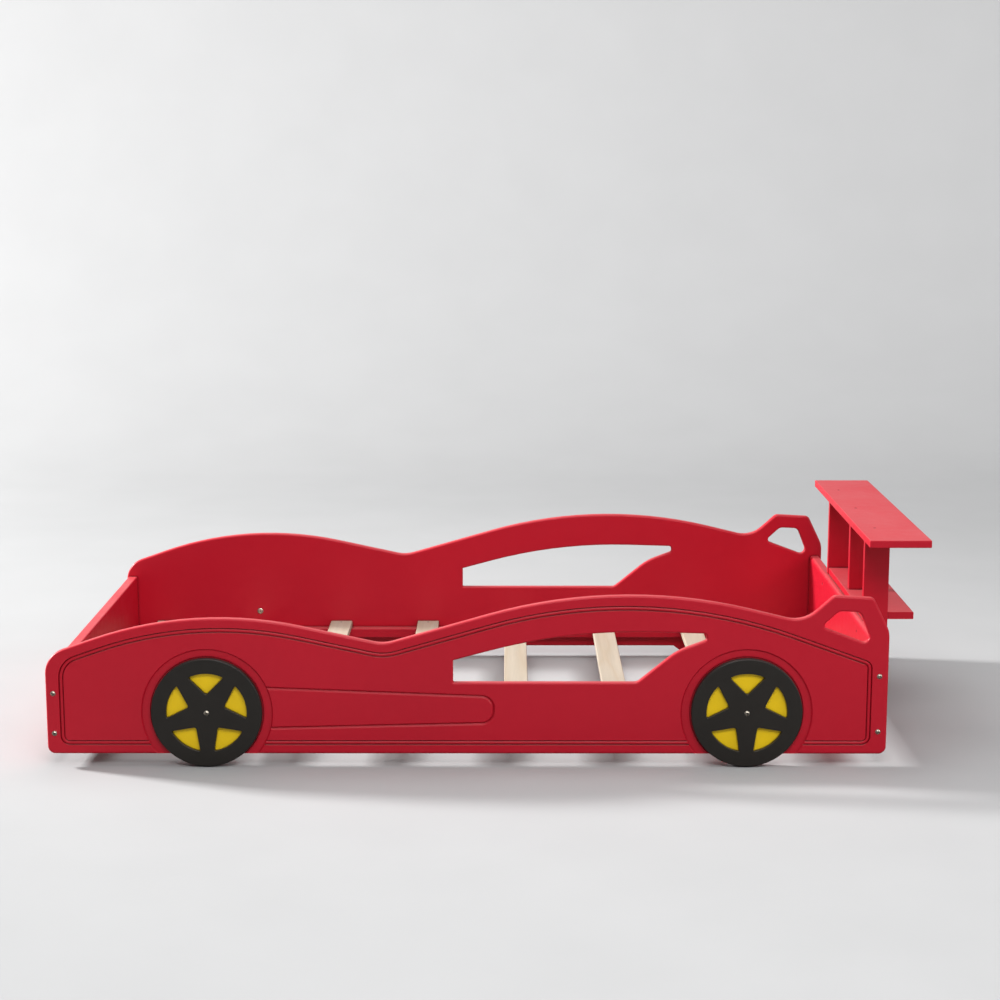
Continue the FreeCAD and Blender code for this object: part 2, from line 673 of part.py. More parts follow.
def main():
    os.makedirs("parts", exist_ok=True)
    panel = side_panel_left()
    save("side_panel_left", panel)
    save("side_panel_right", mirrored(panel))
    save("footboard", footboard())
    save("headboard", headboard())
    ledger = ledger_left()
    save("slat_ledger_left", ledger)
    save("slat_ledger_right", mirrored(ledger))
    for number, x in enumerate(slat_centres(), 1):
        save("slat_%d" % number, slat(x))
    disc, backing = wheel_pieces()
    for name, (x, side) in wheels.items():
        save("wheel_disc_" + name, placed_wheel(disc, x, side))
        save("wheel_backing_" + name, placed_wheel(backing, x, side))
    axle_bolts, axle_nuts = axle_hardware()
    save("axle_bolts", group(axle_bolts))
    save("axle_nuts", group(axle_nuts))
    bolts, nuts, dowels = corner_hardware()
    save("corner_bolts", group(bolts))
    save("corner_barrel_nuts", group(nuts))
    save("corner_dowels", group(dowels))
    for name, shape in wing_pieces().items():
        save(name, shape)
    blade_screws, upright_screws, shelf_screws = wing_screws()
    save("blade_screws", group(screws_from(blade_screws)))
    save("upright_screws", group(screws_from(upright_screws)))
    save("shelf_screws", group(screws_from(shelf_screws)))
    save("ledger_screws", both_sides(screws_from(ledger_screws_left())))
    save("slat_screws", both_sides(screws_from(slat_screws_left())))


main()
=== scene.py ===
import json
import math

import bmesh
import bpy
import numpy as np
from mathutils import Matrix, Vector


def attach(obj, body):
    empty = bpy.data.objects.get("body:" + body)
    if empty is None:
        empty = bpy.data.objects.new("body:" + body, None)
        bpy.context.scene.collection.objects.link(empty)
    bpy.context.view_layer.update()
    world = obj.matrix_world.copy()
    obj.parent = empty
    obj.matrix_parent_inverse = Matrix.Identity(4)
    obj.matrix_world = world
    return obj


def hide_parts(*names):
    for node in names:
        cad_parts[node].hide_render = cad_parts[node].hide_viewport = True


# Looks of a racing-car bed for a child: lacquered side panels, boards and rear wing,
# bare pine slats, and detailed bolts, nuts, dowels and screws in place of the plain ones.

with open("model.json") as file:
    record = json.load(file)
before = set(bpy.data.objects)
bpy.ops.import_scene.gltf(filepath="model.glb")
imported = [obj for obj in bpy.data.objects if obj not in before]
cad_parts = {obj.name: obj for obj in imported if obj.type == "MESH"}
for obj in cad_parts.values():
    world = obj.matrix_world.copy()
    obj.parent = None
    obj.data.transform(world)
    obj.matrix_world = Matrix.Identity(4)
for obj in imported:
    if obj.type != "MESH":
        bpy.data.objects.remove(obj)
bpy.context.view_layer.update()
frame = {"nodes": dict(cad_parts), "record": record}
nodes = frame["nodes"]
slot_of = {entry["node"]: entry["material_slot"] for entry in frame["record"]["subparts"]}

MM = 0.001
BED = "bed_frame"
TURN = 2 * math.pi
BOLT_HEAD_RISE = 3.4 * MM
CAD_CREASE = math.radians(35)
FASTENER_CREASE = math.radians(40)


# ------------------------------------------------------------------ node helpers
def place(tree, kind, inputs=None, **settings):
    """A shader node with its settings, and its inputs either linked or given a value."""
    made = tree.nodes.new("ShaderNode" + kind)
    for name, value in settings.items():
        setattr(made, name, value)
    for name, value in (inputs or {}).items():
        socket = made.inputs[name]
        if isinstance(value, bpy.types.NodeSocket):
            tree.links.new(value, socket)
        else:
            socket.default_value = value
    return made


def start_group(name, inputs, outputs):
    """An empty node group with named sockets; returns it with its input and output sockets."""
    tree = bpy.data.node_groups.new(name, "ShaderNodeTree")
    for label, kind, default in inputs:
        socket = tree.interface.new_socket(label, in_out="INPUT", socket_type="NodeSocket" + kind)
        if default is not None:
            socket.default_value = default
    for label, kind in outputs:
        tree.interface.new_socket(label, in_out="OUTPUT", socket_type="NodeSocket" + kind)
    return tree, tree.nodes.new("NodeGroupInput").outputs, tree.nodes.new("NodeGroupOutput").inputs


def use_group(tree, group, **values):
    """A node of the group, its inputs given by label with _ for a space; returns its outputs."""
    made = tree.nodes.new("ShaderNodeGroup")
    made.node_tree = group
    for label, value in values.items():
        socket = made.inputs[label.replace("_", " ")]
        if isinstance(value, bpy.types.NodeSocket):
            tree.links.new(value, socket)
        else:
            socket.default_value = value
    return made.outputs


def arithmetic(tree, operation, a, b):
    return place(tree, "Math", {0: a, 1: b}, operation=operation).outputs[0]


def sum_of(tree, a, b):
    return arithmetic(tree, "ADD", a, b)


def product(tree, a, b):
    return arithmetic(tree, "MULTIPLY", a, b)


def remap(tree, value, low, high, to_low, to_high, smooth=False):
    """The value moved from the range low..high to the range to_low..to_high, and held inside it."""
    made = place(tree, "MapRange", {"Value": value, "From Min": low, "From Max": high,
                                    "To Min": to_low, "To Max": to_high})
    made.interpolation_type = "SMOOTHSTEP" if smooth else "LINEAR"
    return made.outputs[0]


def blend_colour(tree, factor, a, b, mode="MIX"):
    made = place(tree, "Mix", {0: factor, 6: a, 7: b}, data_type="RGBA", blend_type=mode)
    return made.outputs[2]


def stretched(tree, vector, scale):
    return place(tree, "Mapping", {"Vector": vector, "Scale": scale}).outputs[0]


def noise(tree, vector, scale, detail=3.0, roughness=0.5, distortion=0.0):
    return place(tree, "TexNoise", {"Vector": vector, "Scale": scale, "Detail": detail,
                                    "Roughness": roughness, "Distortion": distortion}).outputs[0]


# ------------------------------------------------------------------ shared effects
def make_arris_wear_and_highlight():
    """Mask of the sharp edges where lacquer is thin and where a painted highlight lies along the arris,
    broken up by a noise.
    """
    tree, given, out = start_group(
        "Arris Wear And Highlight",
        [("Position", "Vector", None), ("Width", "Float", 0.002), ("Breakup", "Float", 60.0)],
        [("Mask", "Float")])
    starts_at, full_at = 0.985, 0.86
    least_left = 0.25
    wide = place(tree, "Bevel", {"Radius": given["Width"]}, samples=6)
    flat = place(tree, "NewGeometry").outputs["Normal"]
    alike = place(tree, "VectorMath", {0: wide.outputs[0], 1: flat}, operation="DOT_PRODUCT")
    edge = remap(tree, alike.outputs["Value"], starts_at, full_at, 0.0, 1.0)
    flecks = noise(tree, given["Position"], given["Breakup"], 4.0)
    broken = remap(tree, flecks, 0.42, 0.62, least_left, 1.0)
    tree.links.new(product(tree, edge, broken), out["Mask"])
    return tree


def make_dust_and_sheen():
    """Mask of a faint dusting on level faces, which also paints the pale sheen of light on the tops."""
    tree, given, out = start_group(
        "Dust And Sheen",
        [("Position", "Vector", None), ("Amount", "Float", 0.1)],
        [("Mask", "Float")])
    steepest, thin_drift, thin_speck = 0.6, 0.65, 0.75
    drift = noise(tree, given["Position"], 9.0, 5.0, 0.6)
    speck = noise(tree, given["Position"], 900.0, 1.0)
    normal = place(tree, "NewGeometry").outputs["Normal"]
    upward = place(tree, "SeparateXYZ", {0: normal}).outputs["Z"]
    level = remap(tree, upward, steepest, 1.0, 0.0, 1.0, smooth=True)
    drifts = remap(tree, drift, 0.35, 0.7, thin_drift, 1.0)
    specks = remap(tree, speck, 0.3, 0.8, thin_speck, 1.0)
    mask = product(tree, product(tree, level, drifts), product(tree, specks, given["Amount"]))
    tree.links.new(mask, out["Mask"])
    return tree


def make_recess_shade_and_grime():
    """Mask of painted shade, with some dirt, in the corners and sockets within a short reach."""
    tree, given, out = start_group(
        "Recess Shade And Grime",
        [("Position", "Vector", None), ("Reach", "Float", 0.005)],
        [("Mask", "Float")])
    fully_closed, fully_open, thin_patch = 0.42, 0.95, 0.7
    patches = noise(tree, given["Position"], 120.0, 3.0)
    near = place(tree, "AmbientOcclusion", {"Distance": given["Reach"]}, samples=6)
    closed = remap(tree, near.outputs["AO"], fully_closed, fully_open, 1.0, 0.0)
    patchy = remap(tree, patches, 0.3, 0.7, thin_patch, 1.0)
    tree.links.new(product(tree, closed, patchy), out["Mask"])
    return tree


def make_sprayed_lacquer():
    """Satin lacquer on board: cloudy tone, orange peel, fibres under the film, fine scuffs."""
    tree, given, out = start_group(
        "Sprayed Lacquer",
        [("Position", "Vector", None), ("Tint", "Color", (0.5, 0.5, 0.5, 1.0)),
         ("Sheen", "Float", 0.4), ("Peel Scale", "Float", 420.0), ("Cloud", "Float", 0.08)],
        [("Color", "Color"), ("Roughness", "Float"), ("Height", "Float")])
    broad_share, peel_share = 0.65, 0.8
    satin_swing, deepest_scuff = 0.035, 0.07
    position = given["Position"]
    broad = noise(tree, position, 3.5, 3.0)
    close = noise(tree, position, 38.0, 4.0, 0.6)
    cloudy = sum_of(tree, product(tree, broad, broad_share), product(tree, close, 1.0 - broad_share))
    depth = product(tree, remap(tree, cloudy, 0.3, 0.7, -1.0, 1.0), given["Cloud"])
    toned = place(tree, "HueSaturation", {"Value": sum_of(tree, depth, 1.0), "Color": given["Tint"]})
    tree.links.new(toned.outputs[0], out["Color"])
    peel = noise(tree, position, given["Peel Scale"], 2.0, 0.45)
    fibres = noise(tree, stretched(tree, position, (1.0, 1.0, 2.2)), 1300.0, 2.0, 0.6)
    height = sum_of(tree, product(tree, peel, peel_share), product(tree, fibres, 1.0 - peel_share))
    tree.links.new(height, out["Height"])
    strokes = noise(tree, stretched(tree, position, (2.2, 9.0, 26.0)), 14.0, 6.0, 0.7, 0.8)
    scuffs = remap(tree, strokes, 0.62, 0.72, 0.0, deepest_scuff)
    satin = product(tree, remap(tree, close, 0.3, 0.7, -1.0, 1.0), satin_swing)
    rough = sum_of(tree, sum_of(tree, given["Sheen"], satin), scuffs)
    tree.links.new(rough, out["Roughness"])
    return tree


def make_planed_pine():
    """Planed softwood sawn along Y: growth rings, fibres, resin streaks and a few pin knots."""
    tree, given, out = start_group(
        "Planed Pine",
        [("Position", "Vector", None), ("Early Wood", "Color", (0.8, 0.7, 0.5, 1.0)),
         ("Late Wood", "Color", (0.7, 0.52, 0.3, 1.0)), ("Ring Count", "Float", 16.0)],
        [("Color", "Color"), ("Roughness", "Float"), ("Height", "Float")])
    late_sharpness, late_share, knot_share = 2.6, 0.55, 0.75
    knot_tint = (0.30, 0.15, 0.06, 1.0)
    position = given["Position"]
    heart = noise(tree, stretched(tree, position, (9.0, 0.75, 9.0)), 1.0, 1.5, 0.4, 0.35)
    rings = arithmetic(tree, "PINGPONG", product(tree, heart, given["Ring Count"]), 1.0)
    late = arithmetic(tree, "POWER", rings, late_sharpness)
    fibres = noise(tree, stretched(tree, position, (900.0, 14.0, 900.0)), 1.0, 3.0, 0.6)
    streaks = noise(tree, stretched(tree, position, (140.0, 3.0, 140.0)), 1.0, 2.0)
    wood = blend_colour(tree, product(tree, late, late_share), given["Early Wood"], given["Late Wood"])
    fibre_tone = remap(tree, fibres, 0.3, 0.7, 0.93, 1.05)
    streak_tone = remap(tree, streaks, 0.3, 0.7, 0.95, 1.04)
    tone = product(tree, fibre_tone, streak_tone)
    toned = place(tree, "HueSaturation", {"Value": tone, "Color": wood})
    cells = stretched(tree, position, (6.0, 3.4, 6.0))
    spots = place(tree, "TexVoronoi", {"Vector": cells, "Scale": 1.0})
    knot = remap(tree, spots.outputs["Distance"], 0.035, 0.06, 1.0, 0.0, smooth=True)
    knotted = blend_colour(tree, product(tree, knot, knot_share), toned.outputs[0], knot_tint)
    tree.links.new(knotted, out["Color"])
    tree.links.new(remap(tree, fibres, 0.2, 0.8, 0.52, 0.68), out["Roughness"])
    tree.links.new(sum_of(tree, product(tree, fibres, 0.6), product(tree, late, 0.4)), out["Height"])
    return tree


def make_plated_steel():
    """Zinc plate: spangled tone and fine turning marks."""
    tree, given, out = start_group(
        "Plated Steel",
        [("Position", "Vector", None), ("Tint", "Color", (0.6, 0.6, 0.62, 1.0)),
         ("Polish", "Float", 0.3)],
        [("Color", "Color"), ("Roughness", "Float"), ("Height", "Float")])
    spangle_scale, mark_scale = 700.0, 2600.0
    spangle = noise(tree, given["Position"], spangle_scale, 3.0, 0.6)
    toned = place(tree, "HueSaturation", {"Value": remap(tree, spangle, 0.3, 0.7, 0.86, 1.08),
                                          "Color": given["Tint"]})
    tree.links.new(toned.outputs[0], out["Color"])
    marks = noise(tree, given["Position"], mark_scale, 2.0)
    tree.links.new(sum_of(tree, given["Polish"], remap(tree, spangle, 0.3, 0.7, -0.06, 0.1)),
                   out["Roughness"])
    tree.links.new(marks, out["Height"])
    return tree


arris_wear_and_highlight = make_arris_wear_and_highlight()
dust_and_sheen = make_dust_and_sheen()
recess_shade_and_grime = make_recess_shade_and_grime()
sprayed_lacquer = make_sprayed_lacquer()
planed_pine = make_planed_pine()
plated_steel = make_plated_steel()


# ------------------------------------------------------------------ materials
def start_material(name):
    material = bpy.data.materials.new(name)
    material.use_nodes = True
    tree = material.node_tree
    shader = tree.nodes["Principled BSDF"]
    position = place(tree, "TexCoord").outputs["Object"]
    return material, tree, shader, position


def raise_surface(tree, shader, height, strength, distance):
    bump = place(tree, "Bump", {"Height": height, "Strength": strength, "Distance": distance})
    tree.links.new(bump.outputs[0], shader.inputs["Normal"])


def lacquer(name, tint, wear_and_highlight_tint, shade_and_grime_tint, sheen, cloud=0.04, dust_and_sheen_amount=0.14, shade_and_grime_reach=7 * MM):
    """Lacquered board: paler along open edges for wear and as a painted highlight, painted shade with
    some dirt in its grooves, and a faint dusting on top that also paints a pale sheen.
    """
    wear_and_highlight_share, wear_and_highlight_ends_at, shade_and_grime_share = 0.40, 0.35, 0.92
    dust_and_sheen_tint, dust_roughness = (0.62, 0.58, 0.54, 1.0), 0.6
    material, tree, shader, position = start_material(name)
    film = use_group(tree, sprayed_lacquer, Position=position, Tint=tint, Sheen=sheen, Cloud=cloud)
    wear_and_highlight_mask = use_group(tree, arris_wear_and_highlight, Position=position, Width=2.2 * MM)["Mask"]
    dust_and_sheen_mask = use_group(tree, dust_and_sheen, Position=position, Amount=dust_and_sheen_amount)["Mask"]
    shade_and_grime_mask = use_group(tree, recess_shade_and_grime, Position=position, Reach=shade_and_grime_reach)["Mask"]
    open_share = remap(tree, shade_and_grime_mask, 0.0, wear_and_highlight_ends_at, wear_and_highlight_share, 0.0)
    # Open edges are lightened for wear and as a painted highlight of light along the arris.
    with_wear_and_highlight = blend_colour(tree, product(tree, wear_and_highlight_mask, open_share), film["Color"], wear_and_highlight_tint)
    # Painted shade, with some dirt, darkens the grooves and corners.
    shaded = blend_colour(tree, product(tree, shade_and_grime_mask, shade_and_grime_share), with_wear_and_highlight, shade_and_grime_tint)
    # A pale tint on level faces paints a faint dusting and the sheen of light on the tops.
    final = blend_colour(tree, dust_and_sheen_mask, shaded, dust_and_sheen_tint)
    tree.links.new(final, shader.inputs["Base Color"])
    rough = sum_of(tree, film["Roughness"], product(tree, dust_and_sheen_mask, dust_roughness))
    tree.links.new(rough, shader.inputs["Roughness"])
    raise_surface(tree, shader, film["Height"], 0.10, 0.6 * MM)
    shader.inputs["Specular IOR Level"].default_value = 0.36
    return material


def bare_wood(name, early, late):
    """Planed wood with no finish, its edges a little warmer where wear has reached them."""
    wear_and_highlight_share, wear_and_highlight_tint = 0.3, (0.66, 0.50, 0.30, 1.0)
    material, tree, shader, position = start_material(name)
    wood = use_group(tree, planed_pine, Position=position, Early_Wood=early, Late_Wood=late)
    wear_and_highlight_mask = use_group(tree, arris_wear_and_highlight, Position=position, Width=3 * MM)["Mask"]
    final = blend_colour(tree, product(tree, wear_and_highlight_mask, wear_and_highlight_share), wood["Color"], wear_and_highlight_tint)
    tree.links.new(final, shader.inputs["Base Color"])
    tree.links.new(wood["Roughness"], shader.inputs["Roughness"])
    raise_surface(tree, shader, wood["Height"], 0.35, 0.5 * MM)
    return material


def steel(name, tint, polish):
    """Plated steel, bright on its edges, with painted shade and some dirt dark in its sockets and
    threads.
    """
    wear_and_highlight_share, wear_and_highlight_tint = 0.5, (0.80, 0.80, 0.80, 1.0)
    shade_and_grime_share, shade_and_grime_tint = 0.93, (0.030, 0.028, 0.026, 1.0)
    material, tree, shader, position = start_material(name)
    plate = use_group(tree, plated_steel, Position=position, Tint=tint, Polish=polish)
    wear_and_highlight_mask = use_group(tree, arris_wear_and_highlight, Position=position, Width=0.5 * MM, Breakup=900.0)["Mask"]
    shade_and_grime_mask = use_group(tree, recess_shade_and_grime, Position=position, Reach=7 * MM)["Mask"]
    with_wear_and_highlight = blend_colour(tree, product(tree, wear_and_highlight_mask, wear_and_highlight_share), plate["Color"], wear_and_highlight_tint)
    # Painted shade, with some dirt, darkens the sockets and threads.
    final = blend_colour(tree, product(tree, shade_and_grime_mask, shade_and_grime_share), with_wear_and_highlight, shade_and_grime_tint)
    tree.links.new(final, shader.inputs["Base Color"])
    tree.links.new(plate["Roughness"], shader.inputs["Roughness"])
    shader.inputs["Metallic"].default_value = 1.0
    raise_surface(tree, shader, plate["Height"], 0.08, 0.1 * MM)
    return material


finishes = {
    "red_lacquer": lacquer("red_lacquer", (0.500, 0.003, 0.018, 1.0), (0.62, 0.06, 0.07, 1.0),
                           (0.13, 0.000, 0.002, 1.0), 0.42),
    "black_lacquer": lacquer("black_lacquer", (0.0205, 0.0175, 0.0145, 1.0), (0.07, 0.067, 0.063, 1.0),
                             (0.003, 0.002, 0.001, 1.0), 0.42, cloud=0.12, dust_and_sheen_amount=0.05),
    "yellow_lacquer": lacquer("yellow_lacquer", (0.90, 0.60, 0.002, 1.0), (0.85, 0.70, 0.20, 1.0),
                              (0.10, 0.04, 0.001, 1.0), 0.45, dust_and_sheen_amount=0.03, shade_and_grime_reach=3 * MM),
    "pine": bare_wood("pine", (0.450, 0.392, 0.306, 1.0), (0.40, 0.315, 0.215, 1.0)),
    "beech": bare_wood("beech", (0.66, 0.45, 0.27, 1.0), (0.52, 0.33, 0.18, 1.0)),
    "bright_steel": steel("bright_steel", (0.57, 0.51, 0.42, 1.0), 0.38),
    # The screws are tinted near black, far darker than zinc plate.
    "zinc_screw": steel("zinc_screw", (0.08, 0.068, 0.06, 1.0), 0.36),
}


def dress(piece, slot):
    piece.data.materials.clear()
    piece.data.materials.append(finishes[slot])


def shade_smooth(piece, crease):
    """Round faces shade round and those that meet at more than the crease stay crisp; nothing moves."""
    for face in piece.data.polygons:
        face.use_smooth = True
    split = piece.modifiers.new("crisp_edges", "EDGE_SPLIT")
    split.split_angle = crease


# ------------------------------------------------------------------ turned pieces
def ringed_mesh(name, rings, segments):
    """Closed mesh from rings, each a function of the angle that gives (radius, height)."""
    shape = bmesh.new()
    rows = []
    for ring in rings:
        row = []
        for k in range(segments):
            angle = TURN * k / segments
            radius, height = ring(angle)
            row.append(shape.verts.new((radius * math.cos(angle), radius * math.sin(angle), height)))
        rows.append(row)
    for low, high in zip(rows, rows[1:]):
        for k in range(segments):
            after = (k + 1) % segments
            shape.faces.new((low[k], low[after], high[after], high[k]))
    for row, flip in ((rows[0], True), (rows[-1], False)):
        middle = shape.verts.new(sum((v.co for v in row), Vector()) / segments)
        for k in range(segments):
            pair = (row[k], row[(k + 1) % segments])
            shape.faces.new((middle, pair[1], pair[0]) if flip else (middle, pair[0], pair[1]))
    bmesh.ops.recalc_face_normals(shape, faces=shape.faces)
    mesh = bpy.data.meshes.new(name)
    shape.to_mesh(mesh)
    shape.free()
    return mesh


def circle(radius, height):
    return lambda angle: (radius, height)


def hexagon(across, height):
    """Ring on a hexagon, as wide across its flats as given."""
    def ring(angle):
        inside = (angle % (TURN / 6)) - TURN / 12
        return across / 2 / math.cos(inside), height
    return ring


def cross(arm_length, arm_half_width, height):
    """Ring on the outline of a cross, for a driver recess."""
    def ring(angle):
        c, s = abs(math.cos(angle)) + 1e-6, abs(math.sin(angle)) + 1e-6
        along_x = min(arm_length / c, arm_half_width / s)
        along_y = min(arm_length / s, arm_half_width / c)
        return max(along_x, along_y), height
    return ring


def thread(crest, root, pitch, start, end, rows_per_turn=5):
    """Rings of a screw thread from start down to end, its ridge fading in and out."""
    count = max(2, round((start - end) / pitch * rows_per_turn))
    rings = []
    for row in range(count + 1):
        height = start + (end - start) * row / count
        fade = min(1.0, (start - height) / pitch, (height - end) / pitch + 0.15)
        def ring(angle, height=height, fade=max(fade, 0.0)):
            phase = (height / pitch - angle / TURN) % 1.0
            ridge = 1.0 - abs(2 * phase - 1.0)
            return root + (crest - root) * ridge * fade, height
        rings.append(ring)
    return rings


def screw_mesh(length, head_radius=4.2 * MM, shank_radius=2.0 * MM):
    """Countersunk cross-head wood screw, its head driven a little below 0 and its tip at -length."""
    head_depth, sunk, recess, point = 2.6 * MM, 0.35 * MM, 2.1 * MM, 4.0 * MM
    pitch, root_share, facets = 1.9 * MM, 0.66, 40
    rim = head_radius - (head_radius - shank_radius) * (sunk + 0.15 * MM) / head_depth
    rings = [
        cross(0.9 * MM, 0.45 * MM, -sunk - recess),
        cross(2.2 * MM, 0.6 * MM, -sunk - 0.1 * MM),
        cross(2.4 * MM, 0.8 * MM, -sunk),
        circle(rim - 0.45 * MM, -sunk),
        circle(rim - 0.1 * MM, -sunk - 0.05 * MM),
        circle(rim, -sunk - 0.15 * MM),
        circle(shank_radius * 0.95, -head_depth),
        circle(shank_radius * 0.92, -head_depth - 2.0 * MM),
    ]
    thread_start = -head_depth - 2.4 * MM
    rings += thread(shank_radius, shank_radius * root_share, pitch, thread_start, -length + point)
    rings += [circle(shank_radius * 0.45, -length + point * 0.45), circle(shank_radius * 0.05, -length)]
    return ringed_mesh("screw_%d" % round(length / MM), rings, facets)


def bolt_mesh(length, thread_length):
    """Low-domed furniture bolt with a hexagon socket, its head seated at 0."""
    head, rise, shank = 6.35 * MM, BOLT_HEAD_RISE, 3.0 * MM
    across, depth = 5.4 * MM, 2.8 * MM
    pitch, root_share, facets = 1.0 * MM, 0.83, 36
    dome = (head ** 2 + rise ** 2) / (2 * rise)

    def crown(radius):
        return rise - dome + math.sqrt(dome ** 2 - radius ** 2)

    lip = crown(across / 2) - 0.05 * MM
    rings = [
        hexagon(across * 0.5, rise - depth - 0.5 * MM),
        hexagon(across * 0.98, rise - depth),
        hexagon(across, lip - 0.25 * MM),
        hexagon(across * 1.08, lip),
    ]
    for share in (0.5, 0.65, 0.8, 0.9, 0.96):
        rings.append(circle(head * share, crown(head * share)))
    rings += [circle(head, 0.35 * MM), circle(head * 0.985, 0.0), circle(shank, 0.0)]
    plain_end = -(length - thread_length)
    rings.append(circle(shank, plain_end + 0.2 * MM))
    rings += thread(shank, shank * root_share, pitch, plain_end, -length + 0.6 * MM)
    rings.append(circle(shank * 0.72, -length))
    return ringed_mesh("bolt_%d" % round(length / MM), rings, facets)


def sleeve_nut_mesh(length):
    """Sleeve nut: a low domed flange with a hexagon socket, its outside at 0, and a bored sleeve."""
    flange, thick, sleeve, hole = 8.5 * MM, 2.0 * MM, 4.5 * MM, 3.05 * MM
    across = 4.0 * MM
    rings = [
        hexagon(across * 0.6, -thick + 0.4 * MM),
        hexagon(across, -thick + 0.5 * MM),
        hexagon(across, -0.25 * MM),
        hexagon(across * 1.1, 0.0), circle(flange * 0.5, 0.0),
        circle(flange * 0.68, -0.1 * thick), circle(flange * 0.82, -0.32 * thick),
        circle(flange * 0.93, -0.62 * thick), circle(flange, -0.9 * thick), circle(flange, -thick),
        circle(sleeve, -thick),
        circle(sleeve, -length + 0.3 * MM), circle(sleeve - 0.3 * MM, -length), circle(hole, -length),
    ]
    rings.append(circle(hole, -thick - 0.1 * MM))
    return ringed_mesh("sleeve_nut", rings, 36)


def dowel_mesh(length, radius=4.0 * MM, flutes=12):
    """Fluted wooden dowel with chamfered ends."""
    chamfer, flute_depth = 1.2 * MM, 0.045

    def fluted(share, height):
        def ring(angle):
            sunk = flute_depth * (1 + math.cos(flutes * angle)) / 2
            return radius * share * (1 - sunk), height
        return ring

    rings = [fluted(0.72, 0.0), fluted(0.9, -0.5 * chamfer), fluted(1.0, -chamfer),
             fluted(1.0, -length + chamfer), fluted(0.9, -length + 0.5 * chamfer), fluted(0.72, -length)]
    return ringed_mesh("dowel", rings, 72)


def barrel_nut_mesh(length, radius=5.0 * MM):
    """Cross nut with a chamfered end, a driver slot and a threaded hole through its middle."""
    chamfer, slot_width, slot_depth = 0.5 * MM, 1.3 * MM, 2.4 * MM
    bore, bore_at = 3.05 * MM, -12.5 * MM
    rings = [circle(radius - chamfer, 0.0), circle(radius, -chamfer),
             circle(radius, -length + chamfer), circle(radius - chamfer, -length)]
    body = bpy.data.objects.new("barrel_blank", ringed_mesh("barrel_blank", rings, 48))
    slot_tool = cutter_box("slot_tool", (2.4 * radius, slot_width, slot_depth))
    hole_rings = [circle(bore, -2 * radius), circle(bore, 2 * radius)]
    hole_tool = bpy.data.objects.new("hole_tool", ringed_mesh("hole_tool", hole_rings, 32))
    hole_tool.matrix_world = Matrix.Translation((0, 0, bore_at)) @ Matrix.Rotation(TURN / 4, 4, "Y")
    return carved(body, [slot_tool, hole_tool], "barrel_nut")


def cutter_box(name, size):
    """Box about the origin, as a tool to cut with."""
    shape = bmesh.new()
    bmesh.ops.create_cube(shape, size=1.0)
    bmesh.ops.scale(shape, vec=size, verts=shape.verts)
    mesh = bpy.data.meshes.new(name)
    shape.to_mesh(mesh)
    shape.free()
    return bpy.data.objects.new(name, mesh)


def carved(body, tools, name):
    """The body's mesh with the tools cut out of it."""
    collection = bpy.context.scene.collection
    for item in [body] + tools:
        collection.objects.link(item)
    for tool in tools:
        cut = body.modifiers.new("cut", "BOOLEAN")
        cut.operation, cut.object, cut.solver = "DIFFERENCE", tool, "EXACT"
    bpy.context.view_layer.update()
    evaluated = body.evaluated_get(bpy.context.evaluated_depsgraph_get())
    mesh = bpy.data.meshes.new_from_object(evaluated)
    mesh.name = name
    for item in [body] + tools:
        bpy.data.objects.remove(item)
    return mesh


# ------------------------------------------------------------------ fasteners on their seats
def solids_in(node):
    """Vertex arrays of the separate solids in a CAD node, in order along X, then Y."""
    mesh = nodes[node].data
    spots = np.array([v.co for v in mesh.vertices])
    _, welded = np.unique(np.round(spots, 6), axis=0, return_inverse=True)
    welded = welded.ravel()
    parent = list(range(welded.max() + 1))

    def root(i):
        while parent[i] != i:
            parent[i] = parent[parent[i]]
            i = parent[i]
        return i

    for face in mesh.polygons:
        first = root(welded[face.vertices[0]])
        for vertex in face.vertices[1:]:
            parent[root(welded[vertex])] = first
    owner = np.array([root(i) for i in welded])
    solids = [spots[owner == number] for number in np.unique(owner)]
    return sorted(solids, key=lambda s: tuple(np.round(s.mean(0), 4)))


def seat_of(solid, axis=None):
    """(head end, unit vector down the shank, length) of a fastener, its axis the longest if not given."""
    low, high = solid.min(0), solid.max(0)
    centre, size = (low + high) / 2, high - low
    axis = int(np.argmax(size)) if axis is None else axis
    radius = np.linalg.norm(np.delete(solid - centre, axis, axis=1), axis=1)
    end_zone, alike = 0.25 * size[axis], 0.1 * MM
    top = radius[solid[:, axis] > high[axis] - end_zone].max()
    bottom = radius[solid[:, axis] < low[axis] + end_zone].max()
    head_up = top > bottom + alike or (abs(top - bottom) <= alike and centre[axis] > 0)
    head = Vector(centre)
    head[axis] = high[axis] if head_up else low[axis]
    down = Vector((0, 0, 0))
    down[axis] = -1.0 if head_up else 1.0
    return head, down, float(size[axis])


def fit_pieces(node, mesh_for, body=BED, lift=0.0, twist=0.7, axis=None):
    """Detailed pieces on the seats of a node of plain fasteners, which they replace.

    A piece's zero lies lift below the top of the plain head; twist turns each one on from the last.
    """
    meshes = {}
    for number, solid in enumerate(solids_in(node), 1):
        head, down, length = seat_of(solid, axis)
        key = round(length, 5)
        if key not in meshes:
            meshes[key] = mesh_for(length)
            meshes[key].materials.append(finishes[slot_of[node]])
        piece = bpy.data.objects.new("%s_%d" % (node.rstrip("s"), number), meshes[key])
        bpy.context.scene.collection.objects.link(piece)
        turned = (-down).to_track_quat("Z", "Y").to_matrix().to_4x4()
        turned = turned @ Matrix.Rotation(twist * number, 4, "Z")
        piece.matrix_world = Matrix.Translation(head + down * lift) @ turned
        shade_smooth(piece, FASTENER_CREASE)
        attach(piece, body)
        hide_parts(node)


def dress_frame():
    for name, piece in nodes.items():
        dress(piece, slot_of[name])
        shade_smooth(piece, CAD_CREASE)


